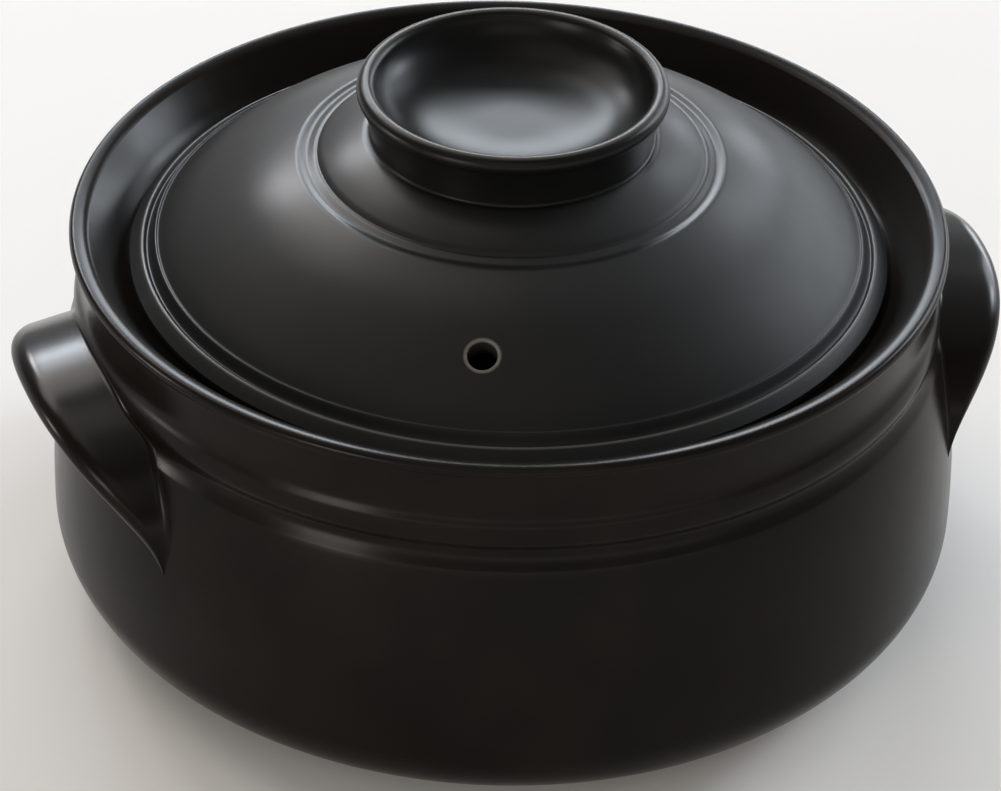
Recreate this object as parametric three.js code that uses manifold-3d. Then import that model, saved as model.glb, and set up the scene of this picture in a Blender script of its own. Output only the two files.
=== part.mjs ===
// Lidded clay cooking pot: a low round-bellied body with two hooded lug handles, and a domed
// lid that drops into a gallery inside the rim and is lifted by a dish-shaped knob.
// Millimetres, +Z up. The origin is under the middle of the foot, with the handles along X.

import * as THREE from 'three';
import { mergeVertices } from 'three/addons/utils/BufferGeometryUtils.js';
import Module from 'manifold-3d';

// Fits between pieces
const SEAT_GAP = 0.3;
const LID_CLEARANCE = 1.5;

// Body: outside, from the lip down to the foot
const POT_HEIGHT = 104;
const RIM_RADIUS = 110;
const LIP_WIDTH = 5.6;
const LIP_HEIGHT = 3;
const LIP_EDGE_ROUND = 1.2;
const LIP_INNER_ROUND = 1.6;
const LIP_OVERHANG = 2.2;
const COLLAR_DROP = 13;
const BEAD_PROUD = 1.8;
const BEAD_DROP = 21.3;
const GROOVE_PROUD = 0.9;
const GROOVE_DROP = 24.8;
const SHOULDER_PROUD = 2.8;
const SHOULDER_DROP = 29;
const SHOULDER_FULLNESS = 30;
const BELLY_SWELL = 7;
const BELLY_LEVEL = 24;
const FOOT_INSET = 33;
const FOOT_HEIGHT = 1.2;
const FOOT_RING_WIDTH = 9;
const FOOT_RECESS = 1.2;

// Body: inside
const WALL = 7;
const FLOOR = 8;
const RIM_WIDTH = 13.3;
const GALLERY_DROP = 11.5;
const GALLERY_ROUND = 3.6;
const LEDGE_WIDTH = 5.4;
const LEDGE_THICKNESS = 3.2;

// Handles: a squared half ellipse seen from the side of the pot, drawn outward into a hood.
// Both are set a little round towards the side of the lid's vent.
const HANDLE_SET = THREE.MathUtils.degToRad(5.5);
const HANDLE_HALF_WIDTH = 46;
const HANDLE_CREST_DROP = 18;
const HANDLE_RISE = 36.8;
const HANDLE_SQUARENESS = 2.26;
const HANDLE_REACH = 18;
const HANDLE_FALL = 2.6;
const HANDLE_EDGE_SWEEP = 1.35;
const HANDLE_EDGE_WALL = 7;
const HANDLE_ROOT_WALL = 10;
const HANDLE_EDGE_ROUND = 2.5;
const HANDLE_COVE = 2;
const HANDLE_ROUND_SHARE = 0.33;

// Lid: flange in the gallery, two ridges, dome, step ring and crown
const FLANGE_THICKNESS = 2;
const FLANGE_ROUND = 1;
const RIDGE_INSET = 3;
const RIDGE_RISE = 4.5;
const RIDGE_GROOVE_WIDTH = 1.5;
const RIDGE_GROOVE_DEPTH = 0.6;
const UPPER_RIDGE_INSET = 6.3;
const UPPER_RIDGE_RISE = 6.4;
const DOME_INSET = 8;
const DOME_EDGE_RISE = 7.1;
const DOME_RISE = 21.1;
const DOME_BULGE = 2.4;
const STEP_WIDTH = 16.5;
const STEP_GROOVE_WIDTH = 2;
const STEP_GROOVE_DEPTH = 0.4;
const CROWN_MARGIN = 1.5;
const CROWN_RISE = 6;
const CROWN_FULLNESS = 4;
const LID_WALL = 6.5;
const FLANGE_SEAT_WIDTH = 7.6;
const VENT_RADIUS = 3.5;
const VENT_INSET = 14.2;
const VENT_ANGLE = THREE.MathUtils.degToRad(249);

// Knob: a dish with a rolled lip over a wall that tapers down to the foot
const KNOB_FOOT_RADIUS = 35;
const KNOB_OVERHANG = 3.5;
const KNOB_HEIGHT = 14.5;
const KNOB_LIP_ROUND = 2.3;
const KNOB_HOLLOW = 0.8;
const KNOB_WALL = 5;
const DISH_FLOOR = 3;
const DISH_FLAT_RADIUS = 18;

// Where rounded edges begin and end, in degrees from outward
const LIP_TO = 144;
const LEDGE_TO = 200;
const KNOB_LIP_FROM = -60;
const KNOB_LIP_TO = 150;

// Facets
const TURN_STEPS = 56;
const KNOB_TURN_STEPS = 44;
const ARCH_STEPS = 32;
const VENT_STEPS = 20;
const NECK_STEPS = 10;
const RIDGE_STEPS = 8;
const CURVE_STEPS = 6;
const EDGE_STEPS = 4;
const COVE_STEPS = 2;

// Levels and radii that follow from the sizes above
const BELLY_RADIUS = RIM_RADIUS + BELLY_SWELL;
const FOOT_RADIUS = BELLY_RADIUS - FOOT_INSET;
const COLLAR_RADIUS = RIM_RADIUS - LIP_OVERHANG;
const GALLERY_RADIUS = RIM_RADIUS - RIM_WIDTH;
const GALLERY_LEVEL = POT_HEIGHT - GALLERY_DROP;
const MOUTH_RADIUS = GALLERY_RADIUS - LEDGE_WIDTH;
const LID_RADIUS = GALLERY_RADIUS - LID_CLEARANCE;
const LID_LEVEL = GALLERY_LEVEL + SEAT_GAP;
const CROWN_RADIUS = KNOB_FOOT_RADIUS + CROWN_MARGIN;
const STEP_RADIUS = CROWN_RADIUS + STEP_WIDTH;
const STEP_LEVEL = LID_LEVEL + DOME_EDGE_RISE + DOME_RISE;
const CROWN_LEVEL = STEP_LEVEL + CROWN_RISE;
const KNOB_LEVEL = CROWN_LEVEL + SEAT_GAP;
const KNOB_RADIUS = KNOB_FOOT_RADIUS + KNOB_OVERHANG;

const glaze = { color: 0x17171a, roughness: 0.42, metalness: 0 };

/** Turns a closed or axis-to-axis outline (x = radius, y = height) about Z. */
function revolve(outline, steps) {
  return new THREE.LatheGeometry(outline, steps).rotateX(Math.PI / 2);
}

/** Samples a curve, leaving out its first point. */
function follow(curve, divisions) {
  return curve.getPoints(divisions).slice(1);
}

/** An elliptic arc about a centre, by its end angles in degrees. */
function arc(centreX, centreY, radiusX, radiusY, from, to) {
  const start = THREE.MathUtils.degToRad(from);
  const end = THREE.MathUtils.degToRad(to);
  return new THREE.EllipseCurve(centreX, centreY, radiusX, radiusY, start, end, to < from);
}

/** A point of an outline. */
function at(radius, height) {
  return new THREE.Vector2(radius, height);
}

/** The body's outside from the foot's edge up to the top of the lip. */
function bodyOutside() {
  const belly = at(BELLY_RADIUS, BELLY_LEVEL);
  const shoulder = at(COLLAR_RADIUS + SHOULDER_PROUD, POT_HEIGHT - SHOULDER_DROP);
  const underBelly = arc(FOOT_RADIUS, BELLY_LEVEL, BELLY_RADIUS - FOOT_RADIUS,
    BELLY_LEVEL - FOOT_HEIGHT, -90, 0);
  const overBelly = new THREE.QuadraticBezierCurve(
    belly, at(BELLY_RADIUS, BELLY_LEVEL + SHOULDER_FULLNESS), shoulder);
  const lipFoot = POT_HEIGHT - LIP_HEIGHT;
  const edge = RIM_RADIUS - LIP_EDGE_ROUND;
  const collarTop = at(COLLAR_RADIUS, lipFoot - LIP_OVERHANG);
  const underLip = new THREE.QuadraticBezierCurve(collarTop, at(COLLAR_RADIUS, lipFoot), at(edge, lipFoot));
  const lipUnder = arc(edge, lipFoot + LIP_EDGE_ROUND, LIP_EDGE_ROUND, LIP_EDGE_ROUND, -90, 0);
  const lipOver = arc(edge, POT_HEIGHT - LIP_EDGE_ROUND, LIP_EDGE_ROUND, LIP_EDGE_ROUND, 0, 90);
  const neck = new THREE.SplineCurve([
    shoulder,
    at(COLLAR_RADIUS + GROOVE_PROUD, POT_HEIGHT - GROOVE_DROP),
    at(COLLAR_RADIUS + BEAD_PROUD, POT_HEIGHT - BEAD_DROP),
    at(COLLAR_RADIUS, POT_HEIGHT - COLLAR_DROP),
    collarTop,
  ]);
  return [
    at(FOOT_RADIUS, 0),
    ...underBelly.getPoints(CURVE_STEPS),
    ...follow(overBelly, CURVE_STEPS),
    ...follow(neck, NECK_STEPS),
    ...follow(underLip, COVE_STEPS),
    ...follow(lipUnder, COVE_STEPS),
    ...lipOver.getPoints(COVE_STEPS),
  ];
}

/** The body's inside from the lip down over the gallery's ledge to the middle of the floor. */
function bodyInside() {
  const ledge = GALLERY_LEVEL;
  const lip = arc(RIM_RADIUS - LIP_WIDTH + LIP_INNER_ROUND, POT_HEIGHT - LIP_INNER_ROUND,
    LIP_INNER_ROUND, LIP_INNER_ROUND, 90, LIP_TO);
  const wallTop = lip.getPoint(1);
  const corner = at(GALLERY_RADIUS, ledge);
  const wallFoot = corner.clone().lerp(wallTop, GALLERY_ROUND / (wallTop.y - ledge));
  const ledgeRoot = at(GALLERY_RADIUS - GALLERY_ROUND / 2, ledge);
  const galleryFillet = new THREE.QuadraticBezierCurve(wallFoot, corner, ledgeRoot);
  const ledgeEdge = arc(MOUTH_RADIUS + LEDGE_THICKNESS / 2, ledge - LEDGE_THICKNESS / 2,
    LEDGE_THICKNESS / 2, LEDGE_THICKNESS / 2, 90, LEDGE_TO);
  const neck = at(COLLAR_RADIUS + GROOVE_PROUD - WALL, POT_HEIGHT - SHOULDER_DROP);
  const innerBelly = at(BELLY_RADIUS - WALL, BELLY_LEVEL + FLOOR / 2);
  const side = new THREE.QuadraticBezierCurve(
    neck, at(BELLY_RADIUS - WALL, BELLY_LEVEL + SHOULDER_FULLNESS), innerBelly);
  const bowl = arc(FOOT_RADIUS, innerBelly.y, innerBelly.x - FOOT_RADIUS, innerBelly.y - FLOOR, 0, -90);
  return [
    ...lip.getPoints(COVE_STEPS),
    ...galleryFillet.getPoints(EDGE_STEPS),
    ...ledgeEdge.getPoints(EDGE_STEPS),
    neck,
    ...follow(side, EDGE_STEPS),
    ...follow(bowl, CURVE_STEPS),
    at(0, FLOOR),
  ];
}

/** Outer radius of the body at a height, read off its outline. */
function bodyRadiusAt(height) {
  const outline = bodyOutside();
  const upper = outline.findIndex((point, i) => i > 0 && point.y >= height && point.y > outline[i - 1].y);
  const low = outline[upper - 1];
  const high = outline[upper];
  return THREE.MathUtils.mapLinear(height, low.y, high.y, low.x, high.x);
}

/** Body of the pot, with a raised foot ring round a recessed base. */
function potBody() {
  const ringInside = FOOT_RADIUS - FOOT_RING_WIDTH;
  return revolve([
    at(0, FOOT_RECESS),
    at(ringInside, FOOT_RECESS),
    at(ringInside + FOOT_RECESS, 0),
    ...bodyOutside(),
    ...bodyInside(),
  ], TURN_STEPS);
}

/** A number drawn to a power, with its sign kept. */
function drawn(value, power) {
  return Math.sign(value) * Math.abs(value) ** power;
}

/** Ring of points round the handle's wall where its arch has turned by an angle from one foot. */
function handleSection(turn, sizes) {
  const spread = drawn(Math.cos(turn), 2 / HANDLE_SQUARENESS);
  const rise = drawn(Math.sin(turn), 2 / HANDLE_SQUARENESS);
  const across = HANDLE_HALF_WIDTH * spread;
  const height = sizes.footLevel + HANDLE_RISE * rise;
  const normal = at(drawn(spread, HANDLE_SQUARENESS - 1) / HANDLE_HALF_WIDTH,
    drawn(rise, HANDLE_SQUARENESS - 1) / HANDLE_RISE).normalize();
  const rootX = Math.sqrt(bodyRadiusAt(height) ** 2 - across ** 2);
  const sweep = Math.abs(rise) ** HANDLE_EDGE_SWEEP;
  const edgeX = THREE.MathUtils.lerp(sizes.footX, sizes.crestX + HANDLE_REACH, sweep);
  const room = HANDLE_ROUND_SHARE * Math.max(edgeX - rootX, 0);
  const cove = Math.min(HANDLE_COVE * (1 - rise / 2), room);
  const edge = Math.min(HANDLE_EDGE_ROUND, room);
  const half = HANDLE_EDGE_WALL / 2;
  const place = (x, offset) => new THREE.Vector3(
    x,
    across + offset * normal.x,
    height + offset * normal.y - HANDLE_FALL * (x - rootX) / HANDLE_REACH,
  );
  const ring = [place(sizes.rootInside, cove)];
  for (let step = 0; step <= COVE_STEPS; step += 1) {
    const angle = Math.PI * (1 + step / COVE_STEPS / 2);
    ring.push(place(rootX + cove + cove * Math.cos(angle), cove + cove * Math.sin(angle)));
  }
  for (let step = 0; step <= EDGE_STEPS; step += 1) {
    const angle = Math.PI * (0.5 - step / EDGE_STEPS);
    ring.push(place(edgeX - edge + edge * Math.cos(angle), -half + half * Math.sin(angle)));
  }
  ring.push(place(rootX, -HANDLE_ROOT_WALL));
  ring.push(place(sizes.rootInside, -HANDLE_ROOT_WALL));
  return ring;
}

/** Closed skin over a row of rings, with its two ends filled. */
function loft(rings) {
  const count = rings[0].length;
  const positions = rings.flat().flatMap((point) => point.toArray());
  const faces = [];
  for (let row = 0; row < rings.length - 1; row += 1) {
    for (let column = 0; column < count; column += 1) {
      const next = (column + 1) % count;
      const a = row * count + column;
      const b = row * count + next;
      faces.push(a, b + count, b, a, a + count, b + count);
    }
  }
  const last = (rings.length - 1) * count;
  for (let column = 1; column < count - 1; column += 1) {
    faces.push(0, column, column + 1);
    faces.push(last, last + column + 1, last + column);
  }
  const geometry = new THREE.BufferGeometry();
  geometry.setAttribute('position', new THREE.Float32BufferAttribute(positions, 3));
  geometry.setIndex(faces);
  return geometry;
}

const wasm = await Module();
wasm.setup();

/** A closed geometry as a solid that can be joined and cut. */
function solid(geometry) {
  const bare = geometry.clone();
  bare.deleteAttribute('normal');
  bare.deleteAttribute('uv');
  const welded = mergeVertices(bare);
  const index = welded.index.array;
  const corners = [];
  for (let i = 0; i < index.length; i += 3) {
    const [a, b, c] = index.slice(i, i + 3);
    if (a !== b && b !== c && c !== a) corners.push(a, b, c);
  }
  return new wasm.Manifold(new wasm.Mesh({
    numProp: 3,
    vertProperties: new Float32Array(welded.attributes.position.array),
    triVerts: new Uint32Array(corners),
  }));
}

/** A solid as a geometry. */
function skin(body) {
  const mesh = body.getMesh();
  const geometry = new THREE.BufferGeometry();
  geometry.setAttribute('position', new THREE.BufferAttribute(mesh.vertProperties, 3));
  geometry.setIndex(new THREE.BufferAttribute(mesh.triVerts, 1));
  geometry.computeVertexNormals();
  return geometry;
}

/** Hooded handle on the +X side: an arch lofted outward, its root cut to the body's outside. */
function handle() {
  const crestLevel = POT_HEIGHT - HANDLE_CREST_DROP;
  const footLevel = crestLevel - HANDLE_RISE;
  const sizes = {
    footLevel,
    crestX: bodyRadiusAt(crestLevel),
    footX: Math.sqrt(bodyRadiusAt(footLevel) ** 2 - HANDLE_HALF_WIDTH ** 2),
    rootInside: bodyRadiusAt(crestLevel) / 2,
  };
  const rings = [];
  for (let step = 0; step <= ARCH_STEPS; step += 1) {
    rings.push(handleSection(Math.PI * step / ARCH_STEPS, sizes));
  }
  const grown = bodyOutside().map((point) => at(point.x + SEAT_GAP, point.y));
  const filledBody = revolve([at(0, 0), ...grown, at(0, POT_HEIGHT)], TURN_STEPS);
  return skin(solid(loft(rings)).subtract(solid(filledBody)));
}

/** The lid's upper outline from the flange's edge to the crown's middle. */
function lidOutside() {
  const flangeTop = LID_LEVEL + FLANGE_THICKNESS;
  const ridge = LID_RADIUS - RIDGE_INSET;
  const ridgeTop = LID_LEVEL + RIDGE_RISE;
  const domeEdge = at(LID_RADIUS - DOME_INSET, LID_LEVEL + DOME_EDGE_RISE);
  const step = at(STEP_RADIUS, STEP_LEVEL);
  const middle = domeEdge.clone().lerp(step, 0.5);
  const bulge = at(step.y - domeEdge.y, domeEdge.x - step.x).setLength(2 * DOME_BULGE);
  const dome = new THREE.QuadraticBezierCurve(domeEdge, middle.add(bulge), step);
  const innerStep = STEP_RADIUS - 2 * STEP_GROOVE_WIDTH;
  const shoulder = new THREE.QuadraticBezierCurve(
    at(innerStep, STEP_LEVEL + STEP_GROOVE_DEPTH),
    at((innerStep + CROWN_RADIUS) / 2, STEP_LEVEL + CROWN_FULLNESS),
    at(CROWN_RADIUS, CROWN_LEVEL),
  );
  return [
    at(LID_RADIUS - FLANGE_ROUND, LID_LEVEL),
    at(LID_RADIUS, LID_LEVEL + FLANGE_ROUND),
    ...new THREE.SplineCurve([
      at(LID_RADIUS, flangeTop),
      at(ridge, ridgeTop),
      at(ridge - RIDGE_GROOVE_WIDTH, ridgeTop - RIDGE_GROOVE_DEPTH),
      at(LID_RADIUS - UPPER_RIDGE_INSET, LID_LEVEL + UPPER_RIDGE_RISE),
      domeEdge,
    ]).getPoints(RIDGE_STEPS),
    ...follow(dome, CURVE_STEPS),
    at(STEP_RADIUS - STEP_GROOVE_WIDTH, STEP_LEVEL - STEP_GROOVE_DEPTH),
    ...shoulder.getPoints(EDGE_STEPS),
    at(0, CROWN_LEVEL),
  ];
}

/** The lid's under outline from the middle out to the flange's seat. */
function lidInside() {
  const seatInside = at(LID_RADIUS - FLANGE_SEAT_WIDTH, LID_LEVEL);
  const crown = at(CROWN_RADIUS, CROWN_LEVEL - LID_WALL);
  const hollow = new THREE.QuadraticBezierCurve(
    crown, at(STEP_RADIUS + LID_WALL / 2, STEP_LEVEL - LID_WALL / 2), seatInside);
  return [at(0, CROWN_LEVEL - LID_WALL), crown, ...follow(hollow, CURVE_STEPS)];
}

/** Domed lid with a steam vent bored square to the dome's slope. */
function lidDome() {
  const dome = revolve([...lidInside(), ...lidOutside()], TURN_STEPS);
  const domeRadius = LID_RADIUS - DOME_INSET;
  const run = domeRadius - STEP_RADIUS;
  const ventLevel = LID_LEVEL + DOME_EDGE_RISE + DOME_RISE * VENT_INSET / run;
  const bore = new THREE.CylinderGeometry(VENT_RADIUS, VENT_RADIUS, 2 * DOME_RISE, VENT_STEPS)
    .rotateX(Math.PI / 2)
    .rotateY(Math.atan2(DOME_RISE, run))
    .translate(domeRadius - VENT_INSET, 0, ventLevel)
    .rotateZ(VENT_ANGLE);
  return skin(solid(dome).subtract(solid(bore)));
}

/** Knob: a shallow dish with a rolled lip over a tapered wall. */
function lidKnob() {
  const base = KNOB_LEVEL;
  const top = base + KNOB_HEIGHT;
  const lip = arc(KNOB_RADIUS - KNOB_LIP_ROUND, top - KNOB_LIP_ROUND,
    KNOB_LIP_ROUND, KNOB_LIP_ROUND, KNOB_LIP_FROM, KNOB_LIP_TO);
  const lipStart = lip.getPoint(0);
  const foot = at(KNOB_FOOT_RADIUS, base);
  const waist = at((foot.x + lipStart.x) / 2 - KNOB_HOLLOW, (foot.y + lipStart.y) / 2);
  const wall = new THREE.QuadraticBezierCurve(foot, waist, lipStart);
  const lipEnd = lip.getPoint(1);
  const dish = new THREE.CubicBezierCurve(
    lipEnd,
    at(lipEnd.x - KNOB_LIP_ROUND, base + DISH_FLOOR + KNOB_LIP_ROUND),
    at(KNOB_FOOT_RADIUS - KNOB_WALL - DISH_FLOOR, base + DISH_FLOOR),
    at(DISH_FLAT_RADIUS, base + DISH_FLOOR),
  );
  return revolve([
    at(0, base),
    ...wall.getPoints(EDGE_STEPS),
    ...follow(lip, 2 * EDGE_STEPS),
    ...follow(dish, CURVE_STEPS),
    at(0, base + DISH_FLOOR),
  ], KNOB_TURN_STEPS);
}

/** A named piece with the pot's glaze. */
function piece(name, geometry) {
  const mesh = new THREE.Mesh(geometry, new THREE.MeshStandardMaterial(glaze));
  mesh.name = name;
  return mesh;
}

const pot = new THREE.Group();
pot.add(piece('pot_body', potBody()));
const rightHandle = piece('right_handle', handle());
const leftHandle = piece('left_handle', handle());
rightHandle.rotation.z = -HANDLE_SET;
leftHandle.rotation.z = Math.PI + HANDLE_SET;
pot.add(leftHandle, rightHandle);

const lid = new THREE.Group();
lid.add(piece('lid_dome', lidDome()), piece('lid_knob', lidKnob()));

const clayPot = new THREE.Group();
clayPot.add(pot, lid);

export default clayPot;
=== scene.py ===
"""Looks of the lidded clay pot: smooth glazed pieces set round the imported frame, studio and camera.

Sizes are in millimetres and match the part's solids; meshes are written in metres.
"""

import logging
import math
from dataclasses import dataclass, field, replace
from enum import Enum
from typing import Any, Optional, Sequence, Union

import bmesh
import bpy
from mathutils import Matrix, Vector


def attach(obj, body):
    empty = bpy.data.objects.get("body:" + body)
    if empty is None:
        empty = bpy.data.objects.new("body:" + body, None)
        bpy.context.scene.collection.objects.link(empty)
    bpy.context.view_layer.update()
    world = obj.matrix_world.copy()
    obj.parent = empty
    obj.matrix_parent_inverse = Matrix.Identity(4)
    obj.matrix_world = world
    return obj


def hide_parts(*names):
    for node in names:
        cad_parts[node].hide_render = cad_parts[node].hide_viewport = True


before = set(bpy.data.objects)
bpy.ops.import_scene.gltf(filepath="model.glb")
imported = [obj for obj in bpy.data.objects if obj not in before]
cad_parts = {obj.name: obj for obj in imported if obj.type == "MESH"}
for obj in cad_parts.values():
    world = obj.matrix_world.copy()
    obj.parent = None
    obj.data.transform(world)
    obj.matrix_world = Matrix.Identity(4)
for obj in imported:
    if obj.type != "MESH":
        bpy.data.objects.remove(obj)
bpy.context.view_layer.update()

MM = 0.001
IMAGE_WIDTH = 1001
SENSOR_WIDTH = 36.0
WELD_DISTANCE = 1e-6
INDEX_NUDGE = 5e-6
SHARP_ANGLE = math.radians(42)
LEVEL_TOP = "level_top"
WATTS_PER_GLOW = 4.0

Point = tuple[float, float]
Profile = list[Point]
Colour = tuple[float, float, float]
Number = Union[int, float]

COOL_LIGHT: Colour = (0.86, 0.925, 1.0)
PALE_LIGHT: Colour = (0.96, 0.96, 1.0)
WARM_LIGHT: Colour = (1.0, 0.94, 0.87)

log = logging.getLogger("clay_pot")


class Side(Enum):
    """Which side of the pot a handle is on."""

    LEFT = "left_handle"
    RIGHT = "right_handle"


class Body(Enum):
    """The two rigid bodies of the part."""

    POT = "pot"
    LID = "lid"


class Slot(Enum):
    """Material slots of the record."""

    BODY = "body_glaze"
    LID = "lid_glaze"


def arc(centre: Point, radii: Point, start: float, end: float, steps: int) -> Profile:
    """Samples an elliptic arc.

    Args:
        centre: Centre of the arc.
        radii: Half sizes along the two axes.
        start: First angle, in degrees.
        end: Last angle, in degrees.
        steps: How many pieces the arc is cut into.

    Returns:
        The points from start to end.
    """
    turns = [math.radians(start + (end - start) * i / steps) for i in range(steps + 1)]
    return [(centre[0] + radii[0] * math.cos(t), centre[1] + radii[1] * math.sin(t)) for t in turns]


def bend(controls: Sequence[Point], steps: int) -> Profile:
    """Samples the smooth curve that control points draw, quadratic for three and cubic for four.

    Args:
        controls: First point, the points that the curve is drawn towards, and last point.
        steps: How many pieces the curve is cut into.

    Returns:
        The points from first to last.
    """
    degree = len(controls) - 1
    points = []
    for i in range(steps + 1):
        t = i / steps
        weights = [math.comb(degree, k) * (1 - t) ** (degree - k) * t**k for k in range(degree + 1)]
        points.append(weigh(controls, weights))
    return points


def weigh(points: Sequence[Point], weights: Sequence[float]) -> Point:
    """Weighted sum of points.

    Args:
        points: The points.
        weights: One weight for each.

    Returns:
        Their sum.
    """
    pairs = list(zip(points, weights))
    return sum(p[0] * w for p, w in pairs), sum(p[1] * w for p, w in pairs)


def through(knots: Profile, steps: int) -> Profile:
    """Samples a smooth curve that passes through every knot.

    Args:
        knots: Points to pass through.
        steps: Pieces between two knots.

    Returns:
        The points from the first knot to the last.
    """
    points = [knots[0]]
    for i in range(len(knots) - 1):
        before, here = knots[max(i - 1, 0)], knots[i]
        there, after = knots[i + 1], knots[min(i + 2, len(knots) - 1)]
        for j in range(1, steps + 1):
            t = j / steps
            weights = (
                (-t + 2 * t**2 - t**3) / 2,
                (2 - 5 * t**2 + 3 * t**3) / 2,
                (t + 4 * t**2 - 3 * t**3) / 2,
                (t**3 - t**2) / 2,
            )
            points.append(weigh((before, here, there, after), weights))
    return points


def eased(corners: list[tuple[Point, float]], steps: int) -> Profile:
    """Runs along corners, rounding each by its own length.

    Args:
        corners: Each corner with the length that its rounding takes from both sides.
        steps: Pieces in each rounding.

    Returns:
        The rounded run.
    """
    points: Profile = []
    for i, (corner, ease) in enumerate(corners):
        if ease == 0 or i in (0, len(corners) - 1):
            points.append(corner)
            continue
        start = towards(corner, corners[i - 1][0], ease)
        end = towards(corner, corners[i + 1][0], ease)
        points += bend((start, corner, end), steps)
    return points


def towards(start: Point, end: Point, length: float) -> Point:
    """A point that lies a length from one point towards another.

    Args:
        start: Where to leave from.
        end: Where to head for.
        length: How far to go.

    Returns:
        The point.
    """
    share = length / math.dist(start, end)
    return start[0] + (end[0] - start[0]) * share, start[1] + (end[1] - start[1]) * share


def between(low: float, high: float, share: float) -> float:
    """The value a share of the way from low to high."""
    return low + (high - low) * share


def drawn(value: float, power: float) -> float:
    """A number drawn to a power, with its sign kept."""
    return math.copysign(abs(value) ** power, value)


class Value:
    """A socket of a node tree whose sums are written as Python expressions."""

    def __init__(self, graph: "Graph", socket: bpy.types.NodeSocket) -> None:
        """Keeps the graph and the socket."""
        self.graph = graph
        self.socket = socket

    def __add__(self, other: Union["Value", Number]) -> "Value":
        """Sum of two values."""
        return self.graph.maths("ADD", self, other)

    def __sub__(self, other: Union["Value", Number]) -> "Value":
        """Difference of two values."""
        return self.graph.maths("SUBTRACT", self, other)

    def __rsub__(self, other: Number) -> "Value":
        """A number less this value."""
        return self.graph.maths("SUBTRACT", other, self)

    def __mul__(self, other: Union["Value", Number]) -> "Value":
        """Product of two values."""
        return self.graph.maths("MULTIPLY", self, other)

    def __truediv__(self, other: Union["Value", Number]) -> "Value":
        """Quotient of two values."""
        return self.graph.maths("DIVIDE", self, other)

    __radd__ = __add__
    __rmul__ = __mul__

    def floor(self) -> "Value":
        """The whole part."""
        return self.graph.maths("FLOOR", self)

    def sine(self) -> "Value":
        """Sine of an angle."""
        return self.graph.maths("SINE", self)

    def cosine(self) -> "Value":
        """Cosine of an angle."""
        return self.graph.maths("COSINE", self)

    def band(self, low: float, high: float) -> "Value":
        """Smooth mask that goes from 0 at low to 1 at high.

        Args:
            low: Value that gives 0.
            high: Value that gives 1, which may be less than low.

        Returns:
            The mask.
        """
        ends = (0.0, 1.0) if low < high else (1.0, 0.0)
        return self.graph.add(
            "ShaderNodeMapRange",
            {"interpolation_type": "SMOOTHSTEP"},
            {
                "Value": self,
                "From Min": min(low, high),
                "From Max": max(low, high),
                "To Min": ends[0],
                "To Max": ends[1],
            },
            "Result",
        )


class Graph:
    """A node tree that nodes are added to by type, settings and socket values."""

    def __init__(self, tree: bpy.types.NodeTree) -> None:
        """Keeps the tree."""
        self.tree = tree

    def node(self, kind: str, settings: dict[str, Any], sockets: dict[str, Any]) -> bpy.types.Node:
        """Adds a node, sets it up, then fills or links its sockets.

        Args:
            kind: The node's type.
            settings: Properties to set first.
            sockets: Values or links, by socket identifier or name.

        Returns:
            The node.
        """
        made = self.tree.nodes.new(kind)
        for key, setting in settings.items():
            setattr(made, key, setting)
        for key, value in sockets.items():
            socket = self.find(made.inputs, key)
            if isinstance(value, Value):
                self.tree.links.new(value.socket, socket)
            else:
                socket.default_value = value
        return made

    def add(self, kind: str, settings: dict[str, Any], sockets: dict[str, Any], output: str) -> Value:
        """Adds a node and hands back one of its outputs.

        Args:
            kind: The node's type.
            settings: Properties to set first.
            sockets: Values or links of its inputs.
            output: Name or identifier of the output.

        Returns:
            The output's value.
        """
        made = self.node(kind, settings, sockets)
        return Value(self, self.find(made.outputs, output))

    def maths(self, operation: str, *terms: Union[Value, Number]) -> Value:
        """Adds a Math node.

        Args:
            operation: What it works out.
            terms: Its one or two terms.

        Returns:
            The result.
        """
        return self.add("ShaderNodeMath", {"operation": operation}, self.numbered("Value", terms), "Value")

    def vector(self, operation: str, *terms: Any) -> Value:
        """Adds a Vector Math node.

        Args:
            operation: What it works out.
            terms: Its one or two vectors.

        Returns:
            The vector, or the number where a length is asked for.
        """
        output = "Value" if operation == "LENGTH" else "Vector"
        sockets = self.numbered("Vector", terms)
        return self.add("ShaderNodeVectorMath", {"operation": operation}, sockets, output)

    def mix(self, share: Value, first: Any, second: Any) -> Value:
        """Mixes two colours.

        Args:
            share: How much of the second.
            first: Colour at 0.
            second: Colour at 1.

        Returns:
            The mixed colour.
        """
        return self.add(
            "ShaderNodeMix",
            {"data_type": "RGBA"},
            {"Factor_Float": share, "A_Color": first, "B_Color": second},
            "Result_Color",
        )

    @staticmethod
    def numbered(name: str, terms: tuple[Any, ...]) -> dict[str, Any]:
        """Terms of a node by the identifiers of its sockets, which share a name."""
        return {f"{name}_{i:03d}" if i else name: term for i, term in enumerate(terms)}

    @staticmethod
    def find(sockets: Any, key: str) -> bpy.types.NodeSocket:
        """Finds a socket by identifier, or else by name.

        Args:
            sockets: The node's inputs or outputs.
            key: Identifier or name.

        Returns:
            The socket.
        """
        for socket in sockets:
            if socket.identifier == key:
                return socket
        return sockets[key]


def opaque(colour: Colour) -> tuple[float, float, float, float]:
    """The colour with full cover."""
    return (*colour, 1.0)


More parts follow.
